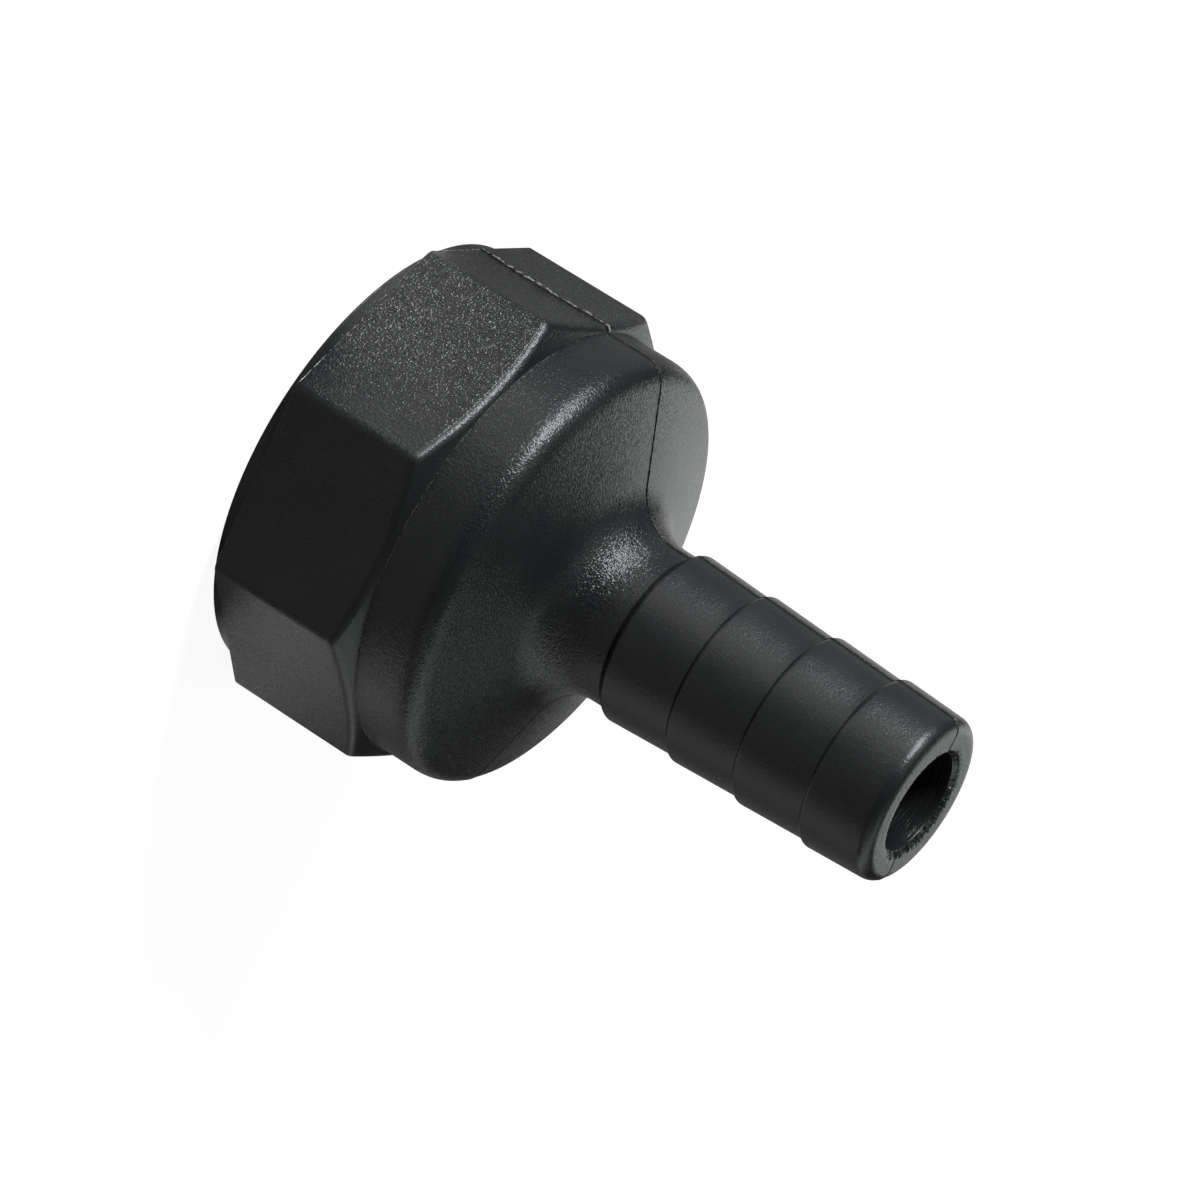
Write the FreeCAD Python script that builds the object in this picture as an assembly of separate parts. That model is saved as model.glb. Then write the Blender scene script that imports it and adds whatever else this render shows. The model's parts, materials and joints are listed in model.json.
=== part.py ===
import FreeCAD, Part
import math
import os

from FreeCAD import Vector

# Hull-fitting to hose adapter, moulded in one piece, in millimetres.
# It stands on its threaded end: the origin is the middle of the rim face, +Z runs up the hose barb,
# and the plane where the two halves of the mould meet is the XZ plane, through the middle of two flats.

# Octagonal head
head_flats = 8
across_flats = 36.0
flats_height = 12.8
bevel_angle = 29.0
corner_round = 1.0

# Round collar that the rim face ends in, a little inside the flats
collar_inset = 0.1
collar_height = 1.0

# Shoulder between the head and the neck, also inside the flats
shoulder_inset = 0.45
shoulder_height = 18.15
shoulder_slope = 18.5
shoulder_round = 1.4

# Neck for a half-inch hose
neck_diameter = 12.7
neck_fillet = 4.5
neck_straight = 1.25

# Barbs that stand out from the neck: a steep back that grips, then a long taper towards the tip
barb_count = 4
barb_pitch = 5.93
barb_crest = 0.55
barb_root = 0.25
barb_back_angle = 45.0
barb_round = 0.45
tip_round = 1.0

# Threaded socket, its seat and the waterway
socket_diameter = 26.44
socket_depth = 15.5
socket_chamfer = 1.2
seat_width = 2.0
waterway_diameter = 8.0
waterway_chamfer = 0.35

# The head is cut from a round blank, larger than its corners by this much.
blank_margin = 1.0

slope = math.tan(math.radians(shoulder_slope))
bevel = math.tan(math.radians(bevel_angle))
barb_back = 1 / math.tan(math.radians(barb_back_angle))

apothem = across_flats / 2
corner_radius = apothem / math.cos(math.pi / head_flats)
blank_radius = corner_radius + blank_margin
collar_radius = apothem - collar_inset
shoulder_radius = apothem - shoulder_inset
neck_radius = neck_diameter / 2
barb_radius = neck_radius + barb_crest
barb_root_radius = neck_radius + barb_root
socket_radius = socket_diameter / 2
waterway_radius = waterway_diameter / 2

# The shoulder's cone would meet the neck here; the fillet then takes up part of the neck.
cone_foot = shoulder_height + (shoulder_radius - neck_radius) * slope
fillet_reach = neck_fillet * math.tan(math.radians(90 - shoulder_slope) / 2)

first_crest = cone_foot + fillet_reach + neck_straight + barb_crest * barb_back
tip_height = first_crest + barb_count * barb_pitch - (barb_crest - barb_root) * barb_back


def corner_arc(before, corner, after, radius):
    """The arc that rounds one corner of an outline, touching both of its sides."""
    back = (before - corner).normalize()
    ahead = (after - corner).normalize()
    half_angle = back.getAngle(ahead) / 2
    reach = radius / math.tan(half_angle)
    middle_line = (back + ahead).normalize()
    centre = corner + middle_line * (radius / math.sin(half_angle))
    return Part.Arc(corner + back * reach, centre - middle_line * radius, corner + ahead * reach)


def rounded_face(points, roundings):
    """A flat face whose outline goes through the points, with each corner rounded by its own radius."""
    pieces = []
    for index, point in enumerate(points):
        if roundings[index] > 0:
            arc = corner_arc(points[index - 1], point, points[(index + 1) % len(points)], roundings[index])
            pieces.append((arc.StartPoint, arc.EndPoint, [arc.toShape()]))
        else:
            pieces.append((point, point, []))
    edges = []
    for index, (start, end, arc) in enumerate(pieces):
        edges += arc
        following = pieces[(index + 1) % len(pieces)][0]
        if end.distanceToPoint(following) > 1e-6:
            edges.append(Part.LineSegment(end, following).toShape())
    return Part.Face(Part.Wire(edges))


def turned(corners):
    """A solid of revolution about Z. Each corner of its outline is a radius, a height and a rounding."""
    points = [Vector(radius, 0, height) for radius, height, rounding in corners]
    face = rounded_face(points, [rounding for radius, height, rounding in corners])
    return face.revolve(Vector(0, 0, 0), Vector(0, 0, 1), 360)


def head_and_shoulder():
    """Corners from the rim face up to the neck, with the head still a round blank."""
    bevel_at_blank = flats_height - (blank_radius - apothem) * bevel
    bevel_at_shoulder = flats_height + shoulder_inset * bevel
    return [
        (0, 0, 0),
        (collar_radius, 0, 0),
        (collar_radius, collar_height, 0),
        (blank_radius, collar_height, 0),
        (blank_radius, bevel_at_blank, 0),
        (shoulder_radius, bevel_at_shoulder, 0),
        (shoulder_radius, shoulder_height, shoulder_round),
        (neck_radius, cone_foot, neck_fillet),
    ]


def barbs():
    """Corners from the neck up to the tip: the foot and the crest of each barb in turn."""
    corners = []
    foot_radius = neck_radius
    for index in range(barb_count):
        crest_height = first_crest + index * barb_pitch
        corners.append((foot_radius, crest_height - (barb_radius - foot_radius) * barb_back, 0))
        corners.append((barb_radius, crest_height, barb_round))
        foot_radius = barb_root_radius
    corners.append((barb_root_radius, tip_height, tip_round))
    corners.append((0, tip_height, 0))
    return corners


def octagon():
    """The prism that leaves the head its flats. It is taller than the part, which it clears elsewhere."""
    turn = 2 * math.pi / head_flats
    points = []
    for index in range(head_flats):
        angle = (index + 0.5) * turn
        points.append(Vector(corner_radius * math.cos(angle), corner_radius * math.sin(angle), 0))
    return rounded_face(points, [corner_round] * head_flats).extrude(Vector(0, 0, tip_height))


def waterway():
    """The hollow: a chamfered socket, a flat seat for the hull fitting's end, a funnel and the bore."""
    funnel_mouth = socket_radius - seat_width
    funnel_end = socket_depth + (funnel_mouth - waterway_radius) * slope
    return turned([
        (0, 0, 0),
        (socket_radius + socket_chamfer, 0, 0),
        (socket_radius, socket_chamfer, 0),
        (socket_radius, socket_depth, 0),
        (funnel_mouth, socket_depth, 0),
        (waterway_radius, funnel_end, 0),
        (waterway_radius, tip_height - waterway_chamfer, 0),
        (waterway_radius + waterway_chamfer, tip_height, 0),
        (0, tip_height, 0),
    ])


outside = turned(head_and_shoulder() + barbs()).common(octagon())
adapter_body = outside.cut(waterway())

os.makedirs("parts", exist_ok=True)
solid = adapter_body.Solids[0]
solid.exportStep("parts/adapter_body.step")
print("adapter_body", "solids", len(adapter_body.Solids), "valid", solid.isValid())
print("height", round(tip_height, 2), "across corners", round(2 * corner_radius, 2))
print("volume in cubic centimetres", round(solid.Volume / 1000, 2))
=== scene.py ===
# %% [markdown]
# # A hull adapter in black glass-filled nylon
# The part is one moulding: an octagonal head with a pipe thread inside, a sloping shoulder, and a tail
# with four barbs for a hose. Everything on it comes from the mould: the flats, the grain etched into its
# steel, and the thin line of flash where its two halves meet. This script dresses the solid frame of the
# part with one detailed skin, gives it its black plastic, and lights it like a small product photograph.

# %% The frame and its sizes
import json
import math

import bpy
import numpy as np
from mathutils import Euler, Matrix, Vector


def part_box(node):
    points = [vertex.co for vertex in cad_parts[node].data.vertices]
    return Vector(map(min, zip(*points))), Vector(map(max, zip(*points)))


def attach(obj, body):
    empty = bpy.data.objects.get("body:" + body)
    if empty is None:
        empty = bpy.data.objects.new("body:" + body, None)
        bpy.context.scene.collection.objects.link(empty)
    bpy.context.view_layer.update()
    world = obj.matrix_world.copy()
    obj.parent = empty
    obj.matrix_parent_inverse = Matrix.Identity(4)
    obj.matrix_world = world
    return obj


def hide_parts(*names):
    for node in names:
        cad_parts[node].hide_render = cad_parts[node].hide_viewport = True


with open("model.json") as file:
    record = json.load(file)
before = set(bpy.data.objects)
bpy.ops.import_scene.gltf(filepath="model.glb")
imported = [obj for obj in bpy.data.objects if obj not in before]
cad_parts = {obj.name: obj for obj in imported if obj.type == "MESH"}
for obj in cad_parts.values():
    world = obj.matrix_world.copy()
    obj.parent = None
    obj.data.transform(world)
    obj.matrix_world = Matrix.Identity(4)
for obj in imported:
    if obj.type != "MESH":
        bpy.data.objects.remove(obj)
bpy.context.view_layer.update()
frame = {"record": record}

MM = 0.001
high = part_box("adapter_body")[1]
mounts = {mount["name"]: mount for mount in frame["record"]["mounts"]}
apothem = high.x / MM
tip_height = high.z / MM
socket_radius = mounts["hull_thread"]["dims"]["r_mm"]
bore_radius = mounts["waterway"]["dims"]["r_mm"]
print("half the width across flats", round(apothem, 2), "mm, height", round(tip_height, 2), "mm")

# %% [markdown]
# ## The camera
# The photograph looks down on the part from the front left, from far away through a long lens, and is
# rolled far to the side, so that the tail points to the lower right. A camera is easiest to read as the
# point that it aims at, its distance, the direction that it looks in, and its roll about that direction.
# Blender's camera looks along its own -Z, so it is first turned up from straight down, then round, and
# the roll is applied last, about its own axis.

# %% The camera
aim = Vector((-0.05, 0.02, 21.35)) * MM
view_distance = 410.24 * MM
view_azimuth = -18.034
view_elevation = 22.511
view_roll = 122.236
lens = 170.65
sensor_width = 36.0

camera = bpy.data.objects.new("camera", bpy.data.cameras.new("camera"))
bpy.context.scene.collection.objects.link(camera)
level = Euler((math.radians(90 - view_elevation), 0, math.radians(view_azimuth))).to_matrix()
turn = level @ Matrix.Rotation(math.radians(view_roll), 3, "Z")
camera.matrix_world = Matrix.Translation(aim + turn.col[2] * view_distance) @ turn.to_4x4()
camera.data.lens = lens
camera.data.sensor_width = sensor_width
camera.data.clip_start = 0.01
bpy.context.scene.camera = camera
print("camera at", [round(value / MM, 1) for value in camera.matrix_world.translation], "mm")

# %% [markdown]
# ## The head's outline from above
# Seen along the axis the head is an octagon whose corners are a little rounded. Every point of the skin
# is placed by its direction around the axis and its distance from it, so the octagon is written as a
# distance for each direction: a straight flat, then, close to a corner, a small arc.

# %% Distance of the octagon from the axis
FLATS = 8
SECTOR = 2 * math.pi / FLATS
corner_round = 1.0
corner_centre = (apothem - corner_round) / math.cos(SECTOR / 2)
corner_start = math.atan2(corner_centre * math.sin(SECTOR / 2), apothem)


def octagon_radius(azimuth):
    """Distance from the axis to the head's side, in millimetres."""
    off_flat = (azimuth + SECTOR / 2) % SECTOR - SECTOR / 2
    if abs(off_flat) <= corner_start:
        return apothem / math.cos(off_flat)
    off_corner = SECTOR / 2 - abs(off_flat)
    across = corner_centre * math.sin(off_corner)
    return corner_centre * math.cos(off_corner) + math.sqrt(corner_round ** 2 - across ** 2)


print("across corners", round(2 * octagon_radius(SECTOR / 2), 2), "mm")

# %% [markdown]
# ## Outlines with rounded corners
# A moulding is a turned shape with a few cuts, so its skin can be a grid: a column of points for each
# direction around the axis, each column being the outline of the part in that half plane. An outline is a
# list of corners. Each corner is a radius, a height, a rounding, the number of steps around the rounding,
# and the number of steps along the straight stretch that follows it. Every column has the same number of
# points, so that neighbouring columns join into neat four-sided faces.

# %% A path through corners, some of them rounded


def steps_between(start, end, count):
    """Points that divide a straight stretch, without its two ends."""
    return [start + (end - start) * (step / count) for step in range(1, count)]


def rounded_path(corners):
    """Points along a path through the corners, with an arc at each corner that has a rounding."""
    places = [np.array(corner[:2]) for corner in corners]
    points = []
    for index, (radius, height, rounding, arc_steps, run_steps) in enumerate(corners):
        if rounding > 0:
            back = places[index - 1] - places[index]
            ahead = places[index + 1] - places[index]
            back = back / np.linalg.norm(back)
            ahead = ahead / np.linalg.norm(ahead)
            half = math.acos(np.clip(back @ ahead, -1, 1)) / 2
            middle = (back + ahead) / np.linalg.norm(back + ahead)
            centre = places[index] + middle * (rounding / math.sin(half))
            sweep = math.pi / 2 - half
            side = ahead - middle * (ahead @ middle)
            side = side / np.linalg.norm(side)
            for step in range(arc_steps + 1):
                angle = sweep * (2 * step / arc_steps - 1)
                spoke = side * math.sin(angle) - middle * math.cos(angle)
                points.append(centre + spoke * rounding)
        else:
            points.append(places[index])
        points.append(run_steps)
    path = []
    for index, item in enumerate(points):
        if isinstance(item, int):
            if index + 1 < len(points):
                path += steps_between(points[index - 1], points[index + 1], item)
        else:
            path.append(item)
    return path


square_corner = rounded_path([(1, 0, 0, 0, 1), (1, 1, 0.5, 4, 1), (0, 1, 0, 0, 0)])
print("points on one rounded square corner", len(square_corner))

# %% [markdown]
# ## Shrunken flats
# The flats aren't quite flat: thick plastic shrinks as it cools and draws their middles in by about a
# seventh of a millimetre. That is too little to see in the outline, but enough to make a reflection fade
# across each flat, more than on a true flat. A cosine across the flat and a sine up it leave the edges
# where they are.

# %% How far the flats are drawn in
collar_height = 1.0
shrink = 0.14


def drawn_in(azimuth, height, side_top):
    """How far shrinkage has drawn a flat in: nothing at its edges, most in its middle."""
    off_flat = (azimuth + SECTOR / 2) % SECTOR - SECTOR / 2
    across = math.cos(min(abs(off_flat) / corner_start, 1) * math.pi / 2)
    up = math.sin(math.pi * (height - collar_height) / (side_top - collar_height))
    return shrink * across * up


print("halfway up a flat's middle", round(drawn_in(0, 6.5, 12), 2), "mm")

# %% [markdown]
# ## The head
# The threaded end is a thin round collar, almost flush with the middles of the flats, so the octagon's
# corners stand out over it like small eaves. At the front a shallow bevel cuts the flats off in shallow
# curves and meets the shoulder in a sharp crease. The front edge of each flat is well rounded: an arc
# that touches both the flat and the bevel, so its centre is worked out for each direction. Cutting all
# this with booleans would work too, but it leaves long thin faces along every cut, which shade badly.

# %% The head's outline for one direction
socket_chamfer = 1.2
mouth_radius = socket_radius + socket_chamfer
collar_inset = 0.1
collar_radius = apothem - collar_inset
collar_round = 0.12
eave_round = 0.12

flats_height = 12.8
bevel_angle = math.radians(29.0)
bevel_steps = 8
front_round = 0.85
front_steps = 10
shoulder_inset = 0.45
shoulder_radius = apothem - shoulder_inset
bevel_foot = flats_height + shoulder_inset * math.tan(bevel_angle)


def head_path(azimuth):
    """Outline from the socket's mouth, over the rim, up the flat and over the bevel to the shoulder."""
    side = octagon_radius(azimuth)
    centre_radius = side - front_round
    bevel_height = bevel_foot - (centre_radius - shoulder_radius) * math.tan(bevel_angle)
    centre = np.array([centre_radius, bevel_height - front_round / math.cos(bevel_angle)])
    path = rounded_path([
        (mouth_radius, 0, 0, 0, 5),
        (collar_radius, 0, collar_round, 3, 2),
        (collar_radius, collar_height, 0, 0, 2),
        (side, collar_height, eave_round, 4, 20),
        (side, centre[1], 0, 0, 0),
    ])
    for point in path:
        if point[0] == side:
            point[0] -= drawn_in(azimuth, point[1], centre[1])
    for step in range(1, front_steps + 1):
        tilt = (math.pi / 2 - bevel_angle) * step / front_steps
        path.append(centre + front_round * np.array([math.cos(tilt), math.sin(tilt)]))
    foot = np.array([shoulder_radius, bevel_foot])
    return path + steps_between(path[-1], foot, bevel_steps)


print("points in the head's outline", len(head_path(0.0)))

# %% [markdown]
# ## The shoulder
# From the bevel on, the outline is the same in every direction: first a short cylinder and a cone. The
# broad highlight on the edge between them shows that it isn't a plain arc, because it starts and ends
# gently and is tightest in its middle. A conic curve does that: it is a blend of its two ends and the
# corner, and a weight says how close to the corner it passes.

# %% The shoulder's edge
shoulder_height = 18.15
shoulder_slope = math.radians(18.5)
shoulder_reach = 1.75
shoulder_weight = 1.15
shoulder_points = 17


def shoulder_edge():
    """Points of the conic curve that takes the shoulder's side over into the cone."""
    corner = np.array([shoulder_radius, shoulder_height])
    start = corner - shoulder_reach * np.array([0, 1])
    end = corner + shoulder_reach * np.array([-math.cos(shoulder_slope), math.sin(shoulder_slope)])
    points = []
    for t in np.linspace(0, 1, shoulder_points):
        parts = np.array([(1 - t) ** 2, 2 * shoulder_weight * t * (1 - t), t ** 2])
        points.append((parts[0] * start + parts[1] * corner + parts[2] * end) / parts.sum())
    return points


print("the edge runs from", np.round(shoulder_edge()[0], 2), "to", np.round(shoulder_edge()[-1], 2))

# %% [markdown]
# ## The tail
# A large fillet takes the cone over into the neck, and four barbs follow. Each barb has a steep back that
# bites into the hose and a long taper that lets it slide on. They are written as corners in a loop, so
# that one pitch and one crest hold for all four. The path then turns over the rounded tip and into the
# chamfered bore.

# %% The outline of the tail
neck_radius = 6.35
neck_fillet = 4.5
neck_straight = 1.25
barb_count = 4
barb_pitch = 5.93
barb_crest = 0.55
barb_root = 0.25
barb_round = 0.4
barb_foot_round = 0.12
tip_round = 1.0
bore_chamfer = 0.35
bore_edge_round = 0.06
bore_upper = 8.0

cone_foot = shoulder_height + (shoulder_radius - neck_radius) * math.tan(shoulder_slope)
fillet_reach = neck_fillet * math.tan((math.pi / 2 - shoulder_slope) / 2)
first_crest = cone_foot + fillet_reach + neck_straight + barb_crest
barb_radius = neck_radius + barb_crest
barb_root_radius = neck_radius + barb_root


def tail_path():
    """Outline from the bevel's foot up to the tip, and over it to the edge of the bore."""
    corners = [(shoulder_radius, bevel_foot, 0, 0, 7)]
    corners += [(point[0], point[1], 0, 0, 1) for point in shoulder_edge()[:-1]]
    corners += [
        (*shoulder_edge()[-1], 0, 0, 9),
        (neck_radius, cone_foot, neck_fillet, 14, 4),
    ]
    foot_radius = neck_radius
    for index in range(barb_count):
        crest = first_crest + index * barb_pitch
        corners.append((foot_radius, crest - (barb_radius - foot_radius), barb_foot_round, 3, 2))
        corners.append((barb_radius, crest, barb_round, 6, 6))
        foot_radius = barb_root_radius
    corners += [
        (barb_root_radius, tip_height, tip_round, 10, 5),
        (bore_radius + bore_chamfer, tip_height, bore_edge_round, 2, 3),
        (bore_radius, tip_height - bore_chamfer, bore_edge_round, 2, 1),
        (bore_radius, tip_height - bore_upper, 0, 0, 0),
    ]
    return rounded_path(corners)[:-1]


print("barb crests at", [round(first_crest + index * barb_pitch, 2) for index in range(barb_count)], "mm")

# %% [markdown]
# ## The waterway
# Inside, a straight bore runs down to a funnel, and the funnel opens onto the flat ledge where the hull
# fitting stops. It is one more stretch of the same outline, so the skin closes on itself and light can't
# leak through it.

# %% The outline of the waterway
bore_step = 1.0
socket_depth = 15.5
seat_width = 2.0
funnel_mouth = socket_radius - seat_width
funnel_end = socket_depth + (funnel_mouth - bore_radius) * math.tan(shoulder_slope)


def bore_path():
    """Outline from the bore's edge down through the funnel and across the ledge to the socket's wall."""
    return rounded_path([
        (bore_radius, tip_height - bore_step, 0, 0, 16),
        (bore_radius, tip_height - bore_step - bore_upper, 0, 0, 8),
        (bore_radius, funnel_end, 0, 0, 4),
        (funnel_mouth, socket_depth, 0, 0, 3),
        (socket_radius, socket_depth, 0, 0, 0),
    ])[:-1]


print("the funnel ends", round(funnel_end, 2), "mm up")

# %% [markdown]
# ## The thread
# The socket takes a three-quarter-inch parallel pipe thread: 14 turns to the inch, with rounded crests
# and roots, so a cosine wave along the axis gives its section. Shifting the wave by one pitch for each
# turn around the axis winds it into a right-hand helix. A Screw modifier could wind a section too, but
# its two ends would still have to be joined to the wall, while here the ridges just fade, as a moulded
# thread's do.

# %% Height of the thread's ridge above the socket's wall
thread_pitch = 25.4 / 14
thread_depth = 1.16
thread_start = 1.5
thread_end = 14.1
thread_rows = 80
run_out = 1.3


def thread_ridge(height, azimuth):
    """How far the thread stands in from the socket's wall."""
    turns = height / thread_pitch - azimuth / (2 * math.pi)
    ends = np.minimum((height - thread_start) / run_out, (thread_end - height) / run_out)
    fade = np.clip(ends, 0, 1)
    return thread_depth * fade * (0.5 + 0.5 * np.cos(2 * math.pi * turns))


socket_heights = np.linspace(socket_depth, socket_chamfer, thread_rows)
print("turns of thread", round((thread_end - thread_start) / thread_pitch, 1))

# %% [markdown]
# ## Columns of the grid
# The columns stand closer together where the outline bends quickly: around the eight corners, and beside
# the parting line, where the two halves of the mould met. That line runs along the middles of the -X and
# +X flats. Its columns keep a fixed distance from the line in millimetres, because the flash is as narrow
# on the neck as it is on the head: each of them has no direction of its own until its radius is known.

# %% Directions of the columns
corner_bearing = 180 / FLATS
near_corner = [0.16, 0.5, 0.84, 1.18, 1.7, 2.6]
flat_reach = 18.9
flat_columns = np.linspace(-flat_reach, flat_reach, 27)
seam_clear = 2.5
seam_offsets = np.array([-0.25, -0.12, -0.06, 0.0, 0.06, 0.12, 0.25])


def columns():
    """Azimuth of each column, with its distance from the parting line where it belongs to that line."""
    listed = []
    for flat in range(FLATS):
        offsets = [-corner_bearing + gap for gap in near_corner]
        offsets += list(flat_columns)
        offsets += [corner_bearing - gap for gap in reversed(near_corner)]
        on_seam = flat % (FLATS // 2) == 0
        for offset in offsets:
            if on_seam and abs(offset) < seam_clear:
                continue
            listed.append((flat * SECTOR + math.radians(offset), None))
        if on_seam:
            sign = 1 if flat == 0 else -1
            listed += [(flat * SECTOR, sign * gap) for gap in seam_offsets]
    listed.sort(key=lambda item: item[0] + (item[1] or 0) / 1000)
    return listed


column_list = columns()
azimuths = np.array([azimuth for azimuth, gap in column_list])
seam_gaps = np.array([np.nan if gap is None else gap for azimuth, gap in column_list])
print("columns", len(azimuths))

# %% [markdown]
# ## The grid
# One outline for each column, from the socket's mouth over the outside and back through the bore and the
# thread, gives two tables: the radius and the height of each point, with a row for each step along the
# outline. Whole tables can be bent and shifted at once, which is short to write and quick to run.

# %% The grid of the skin
tail = tail_path()
bore = bore_path()
grid_radius = []
grid_height = []
for azimuth in azimuths:
    path = head_path(azimuth) + tail + bore
    walls = [np.array([socket_radius - ridge, height])
             for height, ridge in zip(socket_heights, thread_ridge(socket_heights, azimuth))]
    whole = np.array(path + walls)
    grid_radius.append(whole[:, 0])
    grid_height.append(whole[:, 1])
grid_radius = np.array(grid_radius).T
grid_height = np.array(grid_height).T
rows, cols = grid_radius.shape
head_rows = len(head_path(0.0))
outer_rows = head_rows + len(tail)
print("rows", rows, "columns", cols, "triangles", 2 * rows * cols)

# %% [markdown]
# ## The parting line
# Where the two halves of the mould meet they never match exactly. Here the far half sits a little towards
# -X of the near one, so the line is a tiny step, with a fine crease at its foot. The line also wanders
# slightly as it goes. A drawn line could show neither the step in the outline nor the shadow in the
# crease, so all of this is geometry.

# %% How the parting line wanders
wander_on_head = 0.045
wander_on_tail = 0.012


def wander(height):
    """Sideways drift of the parting line, in millimetres, larger on the head than on the tail."""
    size = np.where(height < bevel_foot, wander_on_head, wander_on_tail)
    return size * (0.6 * np.sin(2.7 * height + 0.4) + 0.4 * np.sin(5.9 * height + 1.9))


print("the line wanders by", wander_on_head, "mm on the head and", wander_on_tail, "on the tail")

# %% [markdown]
# ## The crease
# The columns at the line and just beside it are pushed in along the outline's own normal. Rows are
# counted from the socket's mouth: the collar's side starts at row 9, and the flats, with their line, at
# row 13.

# %% The crease beside the line
crease_on_head = 0.2
crease_on_tail = 0.09
crease_gap = 0.06
crease_shallow_side = 0.4
same_gap = 0.01
collar_row = 9
eave_row = 13
bore_edge_rows = 4


def outline_normals(radius, height):
    """Outward normals of the outlines, as their radial and upward parts."""
    along_radius = np.roll(radius, -1, axis=0) - np.roll(radius, 1, axis=0)
    along_height = np.roll(height, -1, axis=0) - np.roll(height, 1, axis=0)
    length = np.hypot(along_radius, along_height)
    return along_height / length, -along_radius / length


row_index = np.arange(rows)[:, None]
on_outside = (row_index >= eave_row) & (row_index < outer_rows - bore_edge_rows)

near_side = -seam_gaps * np.cos(azimuths)
crease = np.where(np.abs(near_side - crease_gap) < same_gap, 1.0, 0.0)
crease = np.where(np.abs(near_side) < same_gap, crease_shallow_side, crease)
crease = crease * np.where(grid_height < bevel_foot, crease_on_head, crease_on_tail)
normal_radius, normal_height = outline_normals(grid_radius, grid_height)
sink = np.where(on_outside, crease, 0.0)
skin_radius = grid_radius - sink * normal_radius
skin_height = grid_height - sink * normal_height
print("crease points", int((sink > 0).sum()))

# %% [markdown]
# ## Nicks
# The edge of the bore is where the core pin closed on the mould, so it is a little ragged: some nicks
# along one side of it, and a rougher stretch beside them. A bump can't change an edge, so these are real
# dents: each column gets one random depth, which pushes the chamfer's points out and down.

# %% Nicks in the bore's edge
nick_azimuths = [102, 87, 80, 67, 62, 52]
nick_depth = 0.12
rough_arc = (-20, 45)
rough_depth = 0.08
smooth_depth = 0.02
nick_widening = 0.4
face_margin = 0.08
wall_margin = 0.02
chance = np.random.default_rng(11)

degrees = (np.degrees(azimuths) + 90) % 360 - 90
dents = np.where((degrees > rough_arc[0]) & (degrees < rough_arc[1]), rough_depth, smooth_depth)
dents = dents * np.abs(chance.normal(size=cols))
for nick in nick_azimuths:
    dents[np.argmin(np.abs(degrees - nick))] = nick_depth
in_mouth = (row_index > head_rows) & (row_index < outer_rows)
in_mouth = in_mouth & (grid_radius < bore_radius + bore_chamfer + face_margin)
in_mouth = in_mouth & (grid_radius > bore_radius + wall_margin)
skin_radius = skin_radius + np.where(in_mouth, nick_widening * dents, 0.0)
skin_height = skin_height - np.where(in_mouth, dents, 0.0)
print("rows in the bore's mouth", int(in_mouth[:, 0].sum()))

# %% [markdown]
# ## The two halves of the mould
# Now the columns of the parting line get their directions, since a distance in millimetres is a different
# angle at each radius, and each half of the part moves by half of the mismatch.

# %% The two halves
mismatch = 0.07
drift = np.where(on_outside, wander(grid_height), 0.0)
sideways = np.where(np.isnan(seam_gaps), 0.0, seam_gaps + drift)
angle = azimuths + np.arcsin(sideways / skin_radius)
skin_x = skin_radius * np.cos(angle)
skin_y = skin_radius * np.sin(angle)

half_of = np.clip(-near_side / crease_gap, -1, 1)
half_of = np.where(np.isnan(seam_gaps), np.sign(np.sin(azimuths)), half_of)
skin_x = skin_x - np.where(on_outside, 0.5 * mismatch * half_of, 0.0)
print("step at the parting line", mismatch, "mm")

# %% [markdown]
# ## From points to a mesh
# The solid's box leaves no room for the step and for the flash that stands on it, so everything is drawn
# in across the parting line by a tenth of a millimetre. On the skin, corners sharper than 38 degrees stay
# sharp and the rest is shaded smooth. The torn flash is shaded flat, so that each of its tiny faces
# glints alone.

# %% The skin as a mesh
flash_room = 0.075
sharp_from = math.radians(38)
draw_in = 1 - (0.5 * mismatch + flash_room) / apothem


def build_mesh(name, points, faces, smooth):
    """A mesh object from points in millimetres, shaded smooth between its sharp corners, or flat."""
    mesh = bpy.data.meshes.new(name)
    mesh.from_pydata((points * np.array([draw_in, 1, 1]) * MM).tolist(), [], faces)
    mesh.validate()
    mesh.polygons.foreach_set("use_smooth", [smooth] * len(mesh.polygons))
    mesh.set_sharp_from_angle(angle=sharp_from)
    made = bpy.data.objects.new(name, mesh)
    bpy.context.scene.collection.objects.link(made)
    return made


def grid_faces(rows, cols):
    """Four-sided faces of a grid that closes around its columns and around its rows."""
    faces = []
    for row in range(rows):
        here = row * cols
        above = (row + 1) % rows * cols
        for col in range(cols):
            beside = (col + 1) % cols
            faces.append((here + col, here + beside, above + beside, above + col))
    return faces


skin_points = np.stack([skin_x, skin_y, skin_height], axis=-1).reshape(-1, 3)
skin = build_mesh("adapter_skin", skin_points, grid_faces(rows, cols), True)
print("skin faces", len(skin.data.polygons))

# %% [markdown]
# ## Flash
# Where the steel of the mould closes, molten plastic creeps into the gap and leaves a paper-thin fin. On
# this part it has mostly been broken off, so what is left is a ragged thread of it: one along the parting
# line on each side, one around the lower edge of the flats, where the collar's plate met the two halves,
# and a very fine one in the crease between bevel and shoulder. Rows of the skin are too far apart for
# such ragged detail, so each fin is a strip of its own, three-sided in section, with a height that
# changes every tenth of a millimetre and its foot sunk into the skin. The glints where the crests catch
# the light are painted as a pale colour, so every point also says how much of this painted highlight it
# gets: the crests get it, and the feet stay black.

# %% Ragged heights at even steps
flash_step = 0.11


def ragged(count, reach, least):
    """Random shares, from a least one up to 1, that hang together over a number of steps."""
    rough = chance.normal(size=count + 2 * reach)
    window = np.hanning(2 * reach + 1)
    smooth = np.convolve(rough, window / window.sum(), mode="valid")
    return least + (1 - least) * np.clip(0.5 + smooth / (2.5 * smooth.std()), 0, 1)


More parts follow.
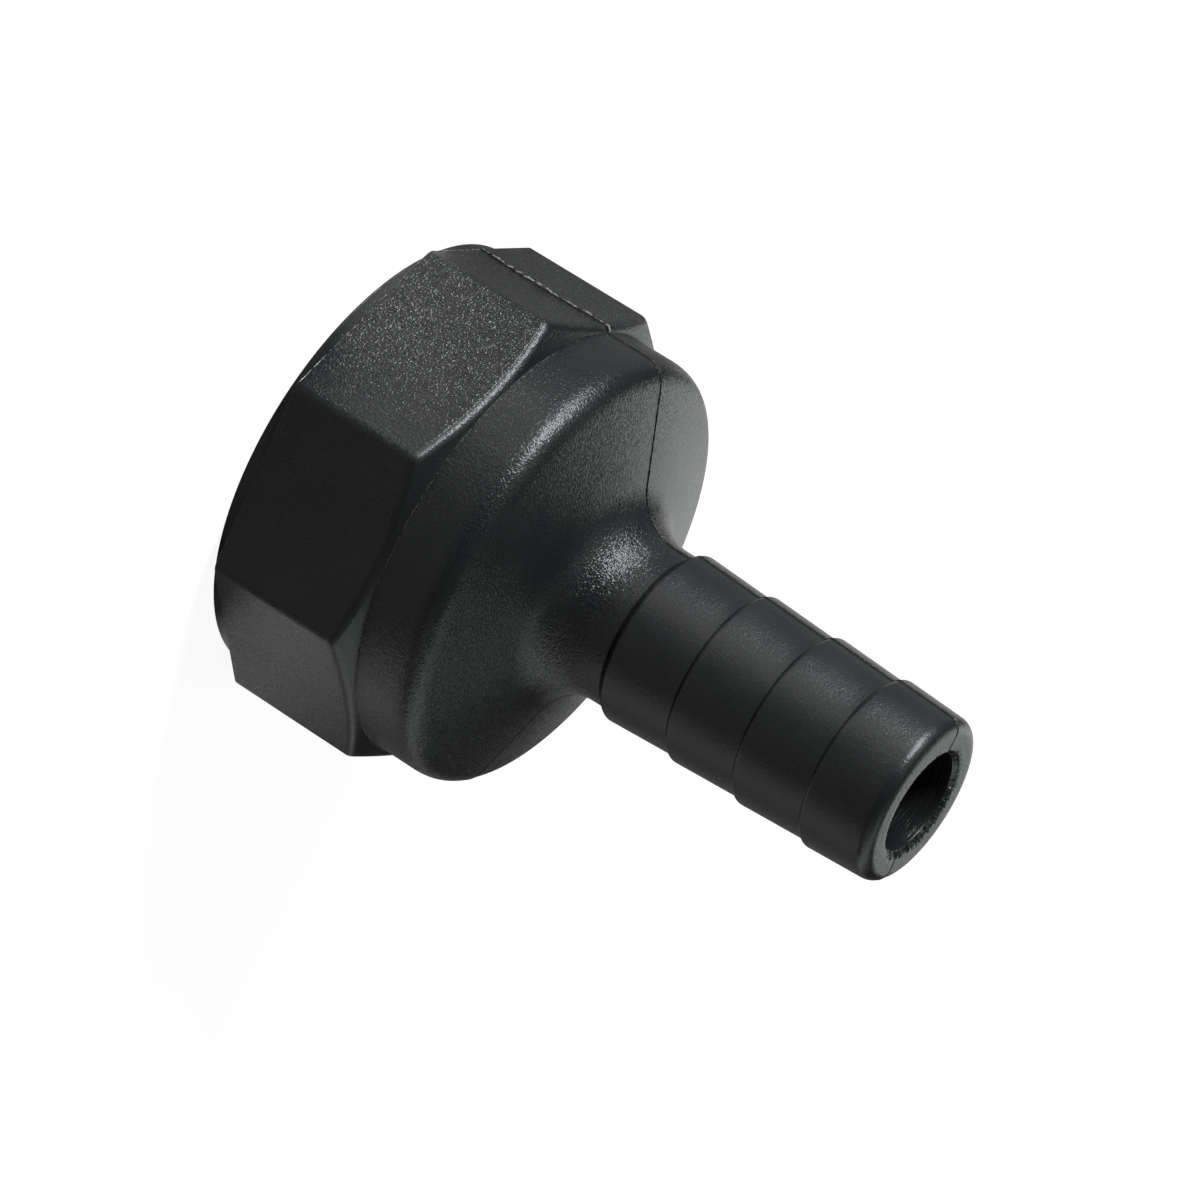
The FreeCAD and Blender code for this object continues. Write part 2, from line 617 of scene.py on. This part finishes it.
def evenly_spaced(path, step):
    """The same path with points at even distances along it."""
    lengths = np.hypot(*np.diff(path, axis=0).T)
    along = np.concatenate([[0], np.cumsum(lengths)])
    places = np.linspace(0, along[-1], int(along[-1] / step))
    return np.stack([np.interp(places, along, path[:, axis]) for axis in range(2)], axis=1)


print("flash is built in steps of", flash_step, "mm")

# %% One fin along a line
flash_near = 0.03
flash_far = 0.12
flash_foot = 0.03
flash_lean = 0.75


def fin(name, line, outward, sideways, heights, glint_share, closed):
    """A three-sided strip along a line in space, with its own height at each point and a painted
    highlight on its crest.
    """
    foot = line - outward * flash_foot
    left = foot - sideways * flash_near
    right = foot + sideways * flash_far
    lean = flash_lean * np.clip(heights, 0, flash_far)[:, None]
    crest = line + outward * heights[:, None] + sideways * lean
    points = np.stack([left, right, crest], axis=1).reshape(-1, 3)
    count = len(line)
    faces = []
    for index in range(count if closed else count - 1):
        a = 3 * index
        b = 3 * ((index + 1) % count)
        faces += [(a, b, b + 1, a + 1), (a + 1, b + 1, b + 2, a + 2), (a + 2, b + 2, b, a)]
    if not closed:
        last = 3 * (count - 1)
        faces += [(0, 1, 2), (last + 2, last + 1, last)]
    made = build_mesh(name, points, faces, False)
    # Each point carries how much painted highlight the colour puts on it: the crest gets it, the foot
    # doesn't.
    torn = made.data.attributes.new("torn", "FLOAT", "POINT")
    torn.data.foreach_set("value", np.outer(glint_share, [0, 0, 1]).ravel())
    return made


print("a fin is", round(flash_near + flash_far, 2), "mm wide at its foot")

# %% [markdown]
# ## The fins themselves
# The parting line's fin follows the outline of the skin at the middle of a flat, wandering as the line
# does. It tore roughly on the head and was trimmed on the tail, where it shows as a thin black line. The
# other two run around the head.

# %% Flash along the two parting lines
flash_on_head = flash_room
flash_on_tail = 0.06
flash_top = tip_height - 0.3
rows_into_bore = 6
tear_reach = 2
tear_least = 0.35
slow_reach = 14
slow_least = 0.6
seam_outline = np.array(head_path(0.0)[eave_row:] + tail[:-rows_into_bore])
seam_outline = seam_outline[seam_outline[:, 1] < flash_top]


def parting_flash(name, side):
    """The fin on the -X side or the +X side of the part."""
    path = evenly_spaced(seam_outline, flash_step)
    along = np.gradient(path, axis=0)
    along = along / np.linalg.norm(along, axis=1)[:, None]
    drift = side * wander(path[:, 1])
    line = np.stack([side * (path[:, 0] + 0.5 * mismatch), drift, path[:, 1]], axis=1)
    outward = np.stack([side * along[:, 1], 0 * along[:, 0], -along[:, 0]], axis=1)
    sideways = np.tile([0.0, 1.0, 0.0], (len(line), 1))
    hollow = apothem - path[:, 0]
    size = np.where(path[:, 1] < bevel_foot, flash_on_head + np.clip(hollow, 0, shrink), flash_on_tail)
    torn = ragged(len(line), tear_reach, tear_least) * ragged(len(line), slow_reach, slow_least)
    # Painted highlight on the fin's crests, on the head only.
    glint_share = np.where(path[:, 1] < bevel_foot, 1.0, 0.0)
    return fin(name, line, outward, sideways, size * torn, glint_share, False)


flash_left = parting_flash("parting_flash_left", -1)
flash_right = parting_flash("parting_flash_right", 1)

# %% Flash around the head
eave_flash_height = 0.045
eave_flash_rise = -0.4
# The eave's and the crease's fins get a painted highlight of these shares on their crests.
eave_glint = 0.75
crease_flash_height = 0.07
crease_flash_rise = 1.0
crease_glint = 0.6
ring_least = 0.3


def ring_flash(name, radii, height, rise, size, crest_glint):
    """A fin around the axis, at a distance for each direction, that leans up or down by its rise."""
    turns = np.linspace(0, 2 * math.pi, len(radii), endpoint=False)
    spokes = np.stack([np.cos(turns), np.sin(turns), 0 * turns], axis=1)
    line = spokes * radii[:, None] + np.array([0, 0, height])
    outward = (spokes + np.array([0, 0, rise])) / math.hypot(1, rise)
    sideways = (np.array([0, 0, 1]) - spokes * rise) / math.hypot(1, rise)
    heights = size * ragged(len(radii), tear_reach, ring_least)
    # The whole ring's crest gets the same share of painted highlight.
    glint_share = np.full(len(radii), crest_glint)
    return fin(name, line, outward, sideways, heights, glint_share, True)


around = np.linspace(0, 2 * math.pi, int(2 * math.pi * apothem / flash_step), endpoint=False)
eave_radii = np.array([octagon_radius(turn) for turn in around]) - 0.5 * eave_round
eave_height = collar_height + 0.5 * eave_round
flash_eave = ring_flash(
    "eave_flash", eave_radii, eave_height, eave_flash_rise, eave_flash_height, eave_glint
)
crease_radii = np.full(len(around), shoulder_radius)
flash_crease = ring_flash(
    "crease_flash", crease_radii, bevel_foot, crease_flash_rise, crease_flash_height, crease_glint
)
fins = [flash_left, flash_right, flash_eave, flash_crease]
print("fins", [len(piece.data.polygons) for piece in fins], "faces")

# %% [markdown]
# ## Writing a material as sums
# A material in Blender is a web of nodes. Sums are easier to read than webs, so a small class wraps a
# node's output and teaches it Python's own operators: writing `1 - mask` or `grain * depth` adds the Math
# node that does it. Every other node comes from one method, which takes the node's type, then its
# settings, then what goes into its sockets.

# %% A node's output as something to calculate with


class Field:
    """What a node gives over a surface: a number, a vector or a colour."""

    def __init__(self, tree, socket=None):
        self.tree = tree
        self.socket = socket

    def node(self, kind, settings, inputs, output=0):
        """Adds a node and returns one of its outputs."""
        made = self.tree.nodes.new(kind)
        for name, value in settings.items():
            setattr(made, name, value)
        for name, value in inputs.items():
            if isinstance(value, Field):
                self.tree.links.new(value.socket, made.inputs[name])
            else:
                made.inputs[name].default_value = value
        return Field(self.tree, made.outputs[output])

    def maths(self, operation, first, second):
        """Arithmetic on two numbers, of which either can be a plain one."""
        return self.node("ShaderNodeMath", {"operation": operation}, {0: first, 1: second})

    def __add__(self, other):
        return self.maths("ADD", self, other)

    def __radd__(self, other):
        return self.maths("ADD", other, self)

    def __sub__(self, other):
        return self.maths("SUBTRACT", self, other)

    def __rsub__(self, other):
        return self.maths("SUBTRACT", other, self)

    def __mul__(self, other):
        return self.maths("MULTIPLY", self, other)

    def __rmul__(self, other):
        return self.maths("MULTIPLY", other, self)

    def __gt__(self, other):
        return self.maths("GREATER_THAN", self, other)

    def stepped(self, start, end):
        """A smooth step from 0 at one value to 1 at another, which may be the lower one."""
        return self.node(
            "ShaderNodeMapRange",
            {"interpolation_type": "SMOOTHSTEP"},
            {"Value": self, "From Min": start, "From Max": end},
        )

    def noise(self, scale, detail, roughness):
        """Smooth random values from 0 to 1, with this many bumps to a millimetre."""
        return self.node(
            "ShaderNodeTexNoise",
            {"noise_dimensions": "3D"},
            {"Vector": self, "Scale": scale, "Detail": detail, "Roughness": roughness},
        )

    def vector(self, operation, others, output=0):
        """Vector arithmetic, with what goes into the node's other sockets."""
        return self.node("ShaderNodeVectorMath", {"operation": operation}, {0: self, **others}, output)

    def stretched(self, factors):
        """A place with each of its coordinates multiplied by its own number."""
        return self.vector("MULTIPLY", {1: factors})

    def blended(self, first, second):
        """A colour that goes from the first to the second as this goes from 0 to 1."""
        return self.node(
            "ShaderNodeMix", {"data_type": "RGBA"}, {"Factor": self, 6: first, 7: second}, 2
        )


print("a field can be", [name for name in vars(Field) if not name.startswith("__")])

# %% [markdown]
# ## Where the mould was etched
# The mould's steel was spark-eroded, which leaves tiny craters a fraction of a millimetre across, and the
# plastic copies them. They are deepest on the head's flats, half polished away on the flats' rounded
# front edge, faint on the shoulder, plainer again in the fillet, and faintest on the tail. They also
# change around the head, where the electrode had worn. The rim face, the socket and the bore were turned
# instead. So each point of the skin says how far it is etched, from 0 to 1: a share for its row times, on
# the head, a share for its column.

# %% Where the mould was etched
depth_heights = [0.0, 12.0, 13.3, 18.5, 21.0, 22.5, 24.5, 26.0, 28.0, tip_height]
depth_shares = [1.0, 1.0, 0.38, 0.33, 0.22, 0.52, 0.52, 0.28, 0.14, 0.14]
depth_bearings = [0, 205, 225, 244, 262, 290, 340, 360]
bearing_shares = [1.0, 1.0, 0.85, 0.35, 0.6, 0.35, 0.35, 1.0]
front_edge_share = 0.35
collar_share = 0.55
front_edge_rows = 17
chamfer_rows = 5

etched_rows = np.interp(grid_height[:, 0], depth_heights, depth_shares)
etched_rows[:collar_row] = 0.0
etched_rows[collar_row:eave_row] = collar_share
etched_rows[head_rows - front_edge_rows:head_rows] *= front_edge_share
etched_rows[outer_rows - chamfer_rows:] = 0.0
etched_cols = np.interp(np.degrees(azimuths) % 360, depth_bearings, bearing_shares)
etched_grid = etched_rows[:, None] * np.where(grid_height < bevel_foot, etched_cols, 1.0)
skin_etched = skin.data.attributes.new("etched", "FLOAT", "POINT")
skin_etched.data.foreach_set("value", etched_grid.ravel())
print("etched rows", int((etched_rows > 0).sum()), "of", rows)

# %% [markdown]
# ## The plastic
# The material is one Principled shader. Its pattern is laid out in the object's own millimetres, so that
# every size below is a real one, and it reads two values that the meshes carry: how far a point is
# etched, and how much painted highlight a crest of the torn flash gets.

# %% Places and masks
plastic = bpy.data.materials.new("black_nylon")
plastic.use_nodes = True
shader = plastic.node_tree.nodes["Principled BSDF"]
web = Field(plastic.node_tree)

place = web.node("ShaderNodeTexCoord", {}, {}, "Object").stretched((1 / MM,) * 3)
etched = web.node("ShaderNodeAttribute", {"attribute_name": "etched"}, {}, "Fac")
# How much painted highlight the flash crests get.
torn = web.node("ShaderNodeAttribute", {"attribute_name": "torn"}, {}, "Fac")
turned = etched.stepped(0.12, 0.0)
carried = [node.attribute_name for node in web.tree.nodes if node.type == "ATTRIBUTE"]
print("values that the meshes carry", carried)

# %% [markdown]
# ## The grain
# The craters are far too fine and too many to model, so they are bump and tilt. Bump alone looks like
# soft leather. What makes etched plastic sparkle is that each small patch faces its own way and now and
# then throws a lamp straight at the eye, so a cell pattern gives each cell a random colour, and that
# colour, read as a direction, tilts the cell. The softer noise under it keeps the cells from looking like
# tiles.

# %% The grain
crater_size = 0.17
grain_depth = 0.12
facet_size = 0.14
facet_tilt = 0.47

craters = place.noise(1 / crater_size, 1.0, 0.5)
facet_cells = place.stretched((1 / facet_size,) * 3)
facet_lot = place.node("ShaderNodeTexVoronoi", {}, {"Vector": facet_cells, "Scale": 1.0}, "Color")
facet_lean = facet_lot.vector("SUBTRACT", {1: (0.5, 0.5, 0.5)})
facet_lean = facet_lean.vector("SCALE", {"Scale": etched * facet_tilt})
print("facets", facet_size, "mm across")

# %% [markdown]
# ## Turned faces, rings and dust
# The core pins were turned, and the plastic that slid off them shows rings: a noise squeezed along the
# axis and stretched around it gives scratches that come and go as they run round. Dust and lint are small
# pale specks. They could be tiny objects, but they lie flat, so colour is enough: a cell pattern gives
# each cell a centre and a random colour, a small spot is kept around the centre, and not every cell is
# allowed to have one.

# %% Rings and dust
ring_depth = 0.065
ring_stretch = (0.35, 0.35, 4.5)
rings = place.stretched(ring_stretch).noise(1.0, 3.0, 0.6)

dust_size = 0.055
cell_size = 1.6
dust_chance = 0.4
cells = place.stretched((1 / cell_size,) * 3)
spot = cells.node("ShaderNodeTexVoronoi", {}, {"Vector": cells, "Scale": 1.0}, "Distance")
lot = cells.node("ShaderNodeTexVoronoi", {}, {"Vector": cells, "Scale": 1.0}, "Color")
chosen = lot.node("ShaderNodeSeparateColor", {}, {0: lot}, "Red")
dust = spot.stepped(dust_size / cell_size, 0.5 * dust_size / cell_size) * (chosen > 1 - dust_chance)
print("dust in", dust_chance, "of the cells, which are", cell_size, "mm wide")

# %% [markdown]
# ## Colour
# Black plastic isn't quite black: it is a little bluish, and greyer where it was handled, in patches a
# few millimetres wide. Over that lie the dust, and a painted highlight, pale, on the crests of the torn
# flash.

# %% Colour
black = (0.0110, 0.0118, 0.0126, 1)
worn = (0.0140, 0.0147, 0.0155, 1)
dust_grey = (0.16, 0.16, 0.155, 1)
# Pale colour that paints the highlight on the flash crests.
glint_white = (0.4, 0.4, 0.4, 1)

swell_scale = 0.28
patch_scale = 2.5
swell = place.noise(swell_scale, 2.0, 0.5)
tone = swell.stepped(0.35, 0.7).blended(black, worn)
patches = place.noise(patch_scale, 2.0, 0.6).stepped(0.42, 0.58)
# Painted highlight: the pale colour on the flash crests, broken into patches.
painted_glint = torn.stepped(0.35, 0.8) * patches
coloured = painted_glint.blended(dust.blended(tone, dust_grey), glint_white)
print("darkest", black[:3], "palest", glint_white[:3])

# %% [markdown]
# ## Sheen and relief
# How wide a highlight spreads is the roughness. Where the steel was etched, the facets already spread it,
# so the plastic itself is glossier there than on the tail, and the turned faces are glossy as well. The
# facets' tilt is added to the normal that comes out of the bump, and the sum is brought back to length
# one.

# %% Sheen and relief
plain_roughness = 0.3
etched_gloss = 0.11
turned_gloss = 0.09
swell_roughness = 0.08
crater_roughness = 0.06

roughness = plain_roughness - etched_gloss * etched - turned_gloss * turned
roughness = roughness + swell_roughness * swell + crater_roughness * craters
relief = etched * craters * grain_depth + turned * rings * ring_depth
bumped = relief.node("ShaderNodeBump", {}, {"Height": relief, "Distance": MM, "Strength": 1.0})
faceted = bumped.vector("ADD", {1: facet_lean}).vector("NORMALIZE", {})

web.tree.links.new(coloured.socket, shader.inputs["Base Color"])
web.tree.links.new(roughness.socket, shader.inputs["Roughness"])
web.tree.links.new(faceted.socket, shader.inputs["Normal"])
for piece in [skin] + fins:
    piece.data.materials.append(plastic)
print("nodes in the plastic", len(plastic.node_tree.nodes))

# %% [markdown]
# ## The floor and the background
# The background of the photograph is plain white. The floor is a matte grey that the lamps light as any
# floor, so that it takes the part's shadow, and for the camera it also glows just enough to come out
# white where no shadow falls. A floor that only glowed would be white too, but would take no shadow. Rays
# that pass through something see the same white. Rays that bounce off the part see less of it, and not
# the same everywhere: black plastic shows the brightness of everything around it, and the real part's
# surroundings were bright in three directions and dim between them, on the camera's side too.

# %% The floor
floor_half = 3.0
floor_grey = 0.25
corners = [(-floor_half, -floor_half, 0), (floor_half, -floor_half, 0)]
corners += [(floor_half, floor_half, 0), (-floor_half, floor_half, 0)]
floor_mesh = bpy.data.meshes.new("floor")
floor_mesh.from_pydata(corners, [], [(0, 1, 2, 3)])
floor = bpy.data.objects.new("floor", floor_mesh)
bpy.context.scene.collection.objects.link(floor)

floor_paint = bpy.data.materials.new("matte_floor")
floor_paint.use_nodes = True
floor_paint.cycles.emission_sampling = "NONE"
floor_shader = floor_paint.node_tree.nodes["Principled BSDF"]
floor_shader.inputs["Base Color"].default_value = (floor_grey, floor_grey, floor_grey, 1)
floor_shader.inputs["Roughness"].default_value = 1.0
floor_shader.inputs["Specular IOR Level"].default_value = 0.0
floor_shader.inputs["Emission Strength"].default_value = 1.0
floor_mesh.materials.append(floor_paint)
print("floor", 2 * floor_half, "m wide")

# %% What the camera and the gloss see of the floor
seen_white = 0.91
dim_floor = 0.07
pools = {210: 0.7, 90: 0.65, 338: 0.4}
pool_core = math.cos(math.radians(8))
pool_rim = math.cos(math.radians(26))


def ray_kinds(tree):
    """One where a ray comes from the camera or through something, and one where it bounced off gloss."""
    path = tree.nodes.new("ShaderNodeLightPath")
    camera_ray, through_ray, gloss_ray = [
        Field(tree, path.outputs[name])
        for name in ("Is Camera Ray", "Is Transmission Ray", "Is Glossy Ray")
    ]
    return camera_ray + through_ray, gloss_ray


print("the floor glows", seen_white, "for the camera and", dim_floor, "or more for the part's gloss")

# %% [markdown]
# ## The pools of light
# Seen from the part, the floor is brighter in some directions than in others. The direction to each spot
# of the floor, as an arrow of length one, times an arrow towards the pool is 1 at the pool's middle and
# falls off around it, which needs no angles in the shader.

# %% The pools of light
ground = Field(floor_paint.node_tree)
spot_on_floor = ground.node("ShaderNodeTexCoord", {}, {}, "Object")
bearing = spot_on_floor.vector("NORMALIZE", {})
# The pools are painted light: glow in the floor that only reflections in the part see, lit by no lamp.
pooled = dim_floor
for azimuth, strength in pools.items():
    towards = (math.cos(math.radians(azimuth)), math.sin(math.radians(azimuth)), 0)
    nearness = bearing.vector("DOT_PRODUCT", {1: towards}, "Value")
    pooled = pooled + nearness.stepped(pool_rim, pool_core) * strength
seen_ray, gloss_ray = ray_kinds(floor_paint.node_tree)
glow = seen_ray * seen_white + gloss_ray * pooled
floor_paint.node_tree.links.new(glow.socket, floor_shader.inputs["Emission Color"])
print("pools of light on the floor", len(pools))

# %% [markdown]
# ## The room
# Past the edge of the floor is the world. The camera sees it white, and it lights the part hardly at all.

# %% The room beyond the floor
room_light = 0.015
room = bpy.data.worlds.new("room")
bpy.context.scene.world = room
room.use_nodes = True
seen_ray = ray_kinds(room.node_tree)[0]
background = room.node_tree.nodes["Background"]
room.node_tree.links.new((seen_ray * (1 - room_light) + room_light).socket, background.inputs["Color"])
print("the room lights the part with", room_light)

# %% [markdown]
# ## Lamps
# Black plastic shows mostly what it reflects, so the lamps are placed by their reflections, each by
# itself, which a picture of a studio wrapped around the scene wouldn't allow. Two strong soft lamps on
# the left, one above the other, make the bright edges and the sparkle of the grain. Weak ones behind and
# on the right give the far side of the shoulder its sheen and lift the tip's face. No lamp stands near
# the camera, which keeps the flat that faces it almost black. Each lamp is a disc that faces the part:
# its size is the angle that it fills, and its strength is the light that arrives.

# %% Softboxes
lamp_distance = 1.5


def softbox(name, azimuth, elevation, spread, arriving, tint):
    """A round soft lamp, by where it stands, the angle that it fills and the light that arrives."""
    direction = Euler((0, -math.radians(elevation), math.radians(azimuth))).to_matrix().col[0]
    lamp = bpy.data.lights.new(name, "AREA")
    lamp.shape = "DISK"
    lamp.size = 2 * lamp_distance * math.tan(math.radians(spread / 2))
    lamp.energy = math.pi * lamp_distance ** 2 * arriving
    lamp.color = tint
    holder = bpy.data.objects.new(name, lamp)
    holder.location = direction * lamp_distance
    holder.rotation_euler = direction.to_track_quat("Z", "Y").to_euler()
    holder.visible_camera = False
    bpy.context.scene.collection.objects.link(holder)
    return arriving * math.sin(math.radians(elevation)) / math.pi


cool = (0.97, 0.985, 1.0)
neutral = (0.97, 1.0, 0.99)
on_floor = softbox("key_high", 198, 25, 15, 2.2, cool)
on_floor += softbox("key_low", 185, 7, 17, 1.85, cool)
on_floor += softbox("left_high", 178, 38, 30, 0.3, cool)
on_floor += softbox("right_side", 8, 30, 34, 0.32, neutral)
on_floor += softbox("right_high", 22, 54, 34, 0.27, neutral)
on_floor += softbox("right_low", 15, 3, 28, 0.18, neutral)
on_floor += softbox("right_front", 325, 30, 36, 0.125, neutral)
on_floor += softbox("back_high", 92, 34, 30, 0.28, neutral)
on_floor += softbox("back_low", 82, 14, 34, 0.36, neutral)
on_floor += softbox("top", 190, 66, 30, 0.13, neutral)
print("a white floor would come out at", round(on_floor, 2))

# %% [markdown]
# ## Handing over
# Colours are shown as they are, with no film look. Each piece rides on the part's one body and belongs to
# its one plastic, and the skin takes the place of the plain solid. The solid is hidden but kept, and the
# dressed part stays inside its box.

# %% Handing over
bpy.context.scene.view_settings.view_transform = "Standard"
for piece in [skin] + fins:
    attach(piece, "root")
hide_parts("adapter_body")
